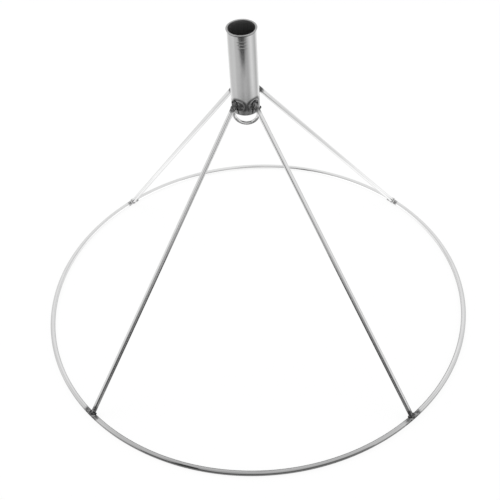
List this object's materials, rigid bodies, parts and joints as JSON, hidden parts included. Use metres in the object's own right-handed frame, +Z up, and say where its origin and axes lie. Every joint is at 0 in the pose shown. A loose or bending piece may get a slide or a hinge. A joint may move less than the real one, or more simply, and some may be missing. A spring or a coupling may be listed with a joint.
{
  "type": "hoop frame with pole socket",
  "caption": "Welded steel hoop on slanting stays under an upright pole socket, with a small wire eye below the socket; carries a round net or bag on a pole.",
  "frame": {"origin": "centre of the hoop at the level of the floor that it stands on", "axes": "+Z up along the socket, towards the pole; -Y is the front, +X is to the right seen from the front; the eye lies in the XZ plane"},
  "size_m": [0.4954, 0.4954, 0.3775],
  "materials": {
    "rod_steel": "bright drawn stainless rod with fine lengthwise lines",
    "tube_steel": "satin ground stainless tube, turned rings near the mouth, heat tint round the welds",
    "wire_steel": "bright drawn stainless wire",
    "weld_metal": "rippled weld bead, dark heat tint"
  },
  "bodies": {
    "root": {"hoop": "rod_steel", "stay_front_left": "rod_steel", "stay_front_right": "rod_steel", "stay_back_right": "rod_steel", "stay_back_left": "rod_steel", "socket_tube": "tube_steel", "eye": "wire_steel", "socket_weld_front_left": "weld_metal", "socket_weld_front_right": "weld_metal", "socket_weld_back_right": "weld_metal", "socket_weld_back_left": "weld_metal", "hoop_weld_front_left": "weld_metal", "hoop_weld_front_right": "weld_metal", "hoop_weld_back_right": "weld_metal", "hoop_weld_back_left": "weld_metal", "eye_weld_left": "weld_metal", "eye_weld_right": "weld_metal"}
  },
  "joints": []
}
